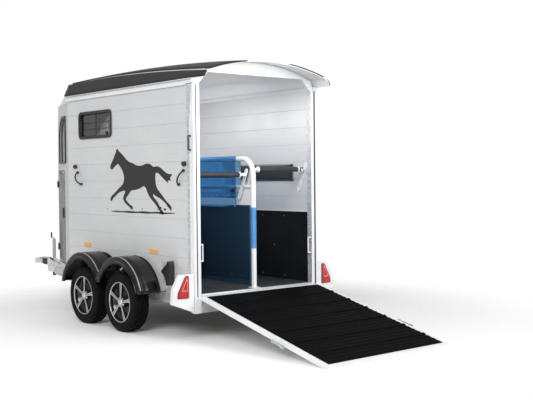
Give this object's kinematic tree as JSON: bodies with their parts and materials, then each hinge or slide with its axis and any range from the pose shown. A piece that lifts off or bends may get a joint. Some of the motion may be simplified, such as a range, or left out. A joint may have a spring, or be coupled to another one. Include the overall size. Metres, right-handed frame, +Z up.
{
  "type": "horse trailer",
  "caption": "Tandem-axle livestock trailer for horses, with a tack-room nose, padded centre partition and a hinged rear loading ramp.",
  "frame": {"origin": "on the ground under the middle of the trailer's overall length with the ramp lowered, on its centre plane", "axes": "+X forwards to the tow hitch, +Y to the trailer's left side, +Z up"},
  "size_m": [7.1446, 2.322, 2.9046],
  "materials": {
    "galvanised": "hot-dip galvanised",
    "zinc_steel": "zinc plated",
    "white_paint": "satin white coating",
    "wall_plank": "silver-grey anodised planks",
    "nose_shell": "silver-grey gel coat",
    "roof_white": "gloss white gel coat",
    "cover_black": "gloss black cover",
    "deck_board": "phenolic plywood",
    "bulkhead_white": "white composite panel",
    "rubber_black": "ribbed rubber",
    "kick_black": "stippled black plastic",
    "pad_black": "vinyl-covered foam",
    "bar_pad": "dark grey foam sleeve",
    "divider_blue": "tinted flexible sheet",
    "black_plastic": "moulded black plastic",
    "fender_black": "moulded black plastic",
    "glass_dark": "smoked pane",
    "lens_red": "moulded red lens",
    "lens_amber": "moulded amber reflector",
    "tyre": "road tyre",
    "alloy": "machined spokes on black",
    "gaiter": "bellows",
    "cast_white": "painted casting"
  },
  "bodies": {
    "trailer_body": {"chassis_frame": "galvanised", "axles": "galvanised", "floor_deck": "deck_board", "floor_mat": "rubber_black", "side_wall_left": "wall_plank", "side_wall_right": "wall_plank", "nose_shell": "nose_shell", "bulkhead": "bulkhead_white", "rear_portal": "white_paint", "eaves_rails": "white_paint", "roof_shell": "roof_white", "roof_side_covers": "cover_black", "kick_panels": "kick_black", "wall_pads": "pad_black", "window_frames": "black_plastic", "fixed_panes": "glass_dark", "fenders": "fender_black", "outer_handles": "black_plastic", "side_reflectors": "lens_amber", "rear_light_housings": "white_paint", "rear_light_lenses": "lens_red", "chock_holder": "galvanised", "partition_frame": "white_paint", "partition_sheets": "divider_blue", "bar_brackets": "zinc_steel", "hinge_pins": "zinc_steel", "overrun_housing": "galvanised", "jockey_outer_tube": "zinc_steel", "drawtube_gaiter": "gaiter"},
    "wheel_rear_left": {"tyre_rear_left": "tyre", "rim_rear_left": "alloy"},
    "wheel_rear_right": {"tyre_rear_right": "tyre", "rim_rear_right": "alloy"},
    "wheel_front_left": {"tyre_front_left": "tyre", "rim_front_left": "alloy"},
    "wheel_front_right": {"tyre_front_right": "tyre", "rim_front_right": "alloy"},
    "ramp": {"ramp_panel": "deck_board", "ramp_frame": "white_paint", "ramp_mat": "rubber_black"},
    "ramp_latch_left": {"ramp_latch_left": "black_plastic"},
    "ramp_latch_right": {"ramp_latch_right": "black_plastic"},
    "rump_bar_left": {"rump_bar_left": "bar_pad"},
    "rump_bar_right": {"rump_bar_right": "bar_pad"},
    "breast_bar_left": {"breast_bar_left": "bar_pad"},
    "breast_bar_right": {"breast_bar_right": "bar_pad"},
    "rump_knob_left": {"rump_knob_left": "black_plastic"},
    "rump_knob_right": {"rump_knob_right": "black_plastic"},
    "breast_knob_left": {"breast_knob_left": "black_plastic"},
    "breast_knob_right": {"breast_knob_right": "black_plastic"},
    "sliding_pane": {"sliding_pane": "glass_dark"},
    "tack_door": {"tack_door": "nose_shell"},
    "tack_door_latch": {"tack_door_latch": "white_paint"},
    "wheel_chock": {"wheel_chock": "black_plastic"},
    "coupling_head": {"coupling_head": "cast_white"},
    "coupling_lever": {"coupling_lever": "cast_white"},
    "handbrake_lever": {"handbrake_lever": "black_plastic"},
    "jockey_crank": {"jockey_crank": "zinc_steel"},
    "jockey_inner_tube": {"jockey_inner_tube": "zinc_steel"},
    "jockey_wheel": {"jockey_wheel": "rubber_black"}
  },
  "joints": [
    {"name": "wheel_rear_left_spin", "type": "hinge", "parent": "trailer_body", "child": "wheel_rear_left", "pos_m": [-0.70074, 1.0305, 0.317], "axis": [0, 1, 0], "continuous": true},
    {"name": "wheel_rear_right_spin", "type": "hinge", "parent": "trailer_body", "child": "wheel_rear_right", "pos_m": [-0.70074, -1.0305, 0.317], "axis": [0, 1, 0], "continuous": true},
    {"name": "wheel_front_left_spin", "type": "hinge", "parent": "trailer_body", "child": "wheel_front_left", "pos_m": [0.09426, 1.0305, 0.317], "axis": [0, 1, 0], "continuous": true},
    {"name": "wheel_front_right_spin", "type": "hinge", "parent": "trailer_body", "child": "wheel_front_right", "pos_m": [0.09426, -1.0305, 0.317], "axis": [0, 1, 0], "continuous": true},
    {"name": "ramp_fold", "type": "hinge", "parent": "trailer_body", "child": "ramp", "pos_m": [-1.72474, 0, 0.424], "axis": [0, 1, 0], "range_deg": [0, 103.05]},
    {"name": "ramp_latch_left_turn", "type": "hinge", "parent": "ramp", "child": "ramp_latch_left", "pos_m": [-2.89556, 0.843, 0.16083], "axis": [0, 1, 0], "range_deg": [0, 110]},
    {"name": "ramp_latch_right_turn", "type": "hinge", "parent": "ramp", "child": "ramp_latch_right", "pos_m": [-2.89556, -0.843, 0.16083], "axis": [0, 1, 0], "range_deg": [0, 110]},
    {"name": "rump_bar_left_lift", "type": "hinge", "parent": "trailer_body", "child": "rump_bar_left", "pos_m": [-1.50567, 0.062, 1.66], "axis": [1, 0, 0], "range_deg": [0, 75]},
    {"name": "rump_bar_right_lift", "type": "hinge", "parent": "trailer_body", "child": "rump_bar_right", "pos_m": [-1.53131, -0.062, 1.715], "axis": [-1, 0, 0], "range_deg": [0, 75]},
    {"name": "breast_bar_left_lift", "type": "hinge", "parent": "trailer_body", "child": "breast_bar_left", "pos_m": [0.72418, 0.062, 1.66], "axis": [1, 0, 0], "range_deg": [0, 75]},
    {"name": "breast_bar_right_lift", "type": "hinge", "parent": "trailer_body", "child": "breast_bar_right", "pos_m": [0.74982, -0.062, 1.715], "axis": [-1, 0, 0], "range_deg": [0, 75]},
    {"name": "rump_knob_left_pull", "type": "slide", "parent": "trailer_body", "child": "rump_knob_left", "axis": [0, 1, 0], "range_m": [0, 0.025], "stiffness_N_per_m": 400, "springref_m": -0.004},
    {"name": "rump_knob_right_pull", "type": "slide", "parent": "trailer_body", "child": "rump_knob_right", "axis": [0, -1, 0], "range_m": [0, 0.025], "stiffness_N_per_m": 400, "springref_m": -0.004},
    {"name": "breast_knob_left_pull", "type": "slide", "parent": "trailer_body", "child": "breast_knob_left", "axis": [0, 1, 0], "range_m": [0, 0.025], "stiffness_N_per_m": 400, "springref_m": -0.004},
    {"name": "breast_knob_right_pull", "type": "slide", "parent": "trailer_body", "child": "breast_knob_right", "axis": [0, -1, 0], "range_m": [0, 0.025], "stiffness_N_per_m": 400, "springref_m": -0.004},
    {"name": "window_slide", "type": "slide", "parent": "trailer_body", "child": "sliding_pane", "axis": [1, 0, 0], "range_m": [0, 0.33]},
    {"name": "tack_door_swing", "type": "hinge", "parent": "trailer_body", "child": "tack_door", "pos_m": [1.84541, 0.522, 1.15], "axis": [0, 0, -1], "range_deg": [0, 110]},
    {"name": "tack_door_latch_turn", "type": "hinge", "parent": "tack_door", "child": "tack_door_latch", "pos_m": [1.35139, 0.69968, 1.15], "axis": [0.342, 0.9397, 0], "range_deg": [-90, 0]},
    {"name": "chock_lift_out", "type": "slide", "parent": "trailer_body", "child": "wheel_chock", "axis": [0, 0, 1], "range_m": [0, 0.3]},
    {"name": "overrun_slide", "type": "slide", "parent": "trailer_body", "child": "coupling_head", "axis": [1, 0, 0], "range_m": [-0.09, 0], "deforming": ["drawtube_gaiter"]},
    {"name": "coupling_lever_lift", "type": "hinge", "parent": "coupling_head", "child": "coupling_lever", "pos_m": [3.44226, 0, 0.46], "axis": [0, 1, 0], "range_deg": [0, 40]},
    {"name": "handbrake_pull", "type": "hinge", "parent": "trailer_body", "child": "handbrake_lever", "pos_m": [2.77226, 0.06, 0.43], "axis": [0, -1, 0], "range_deg": [0, 75]},
    {"name": "jockey_crank_turn", "type": "hinge", "parent": "trailer_body", "child": "jockey_crank", "pos_m": [3.22726, -0.105, 0.75], "axis": [0, 0, 1], "range_deg": [0, 14760]},
    {"name": "jockey_lower", "type": "slide", "parent": "trailer_body", "child": "jockey_inner_tube", "axis": [0, 0, 1], "range_m": [-0.205, 0]},
    {"name": "jockey_wheel_spin", "type": "hinge", "parent": "jockey_inner_tube", "child": "jockey_wheel", "pos_m": [3.22726, -0.105, 0.305], "axis": [0.454, 0.891, 0], "continuous": true}
  ],
  "couplings": [
    {"joint": "jockey_lower", "follows": "jockey_crank_turn", "m_per_rad": -0.00079577}
  ]
}
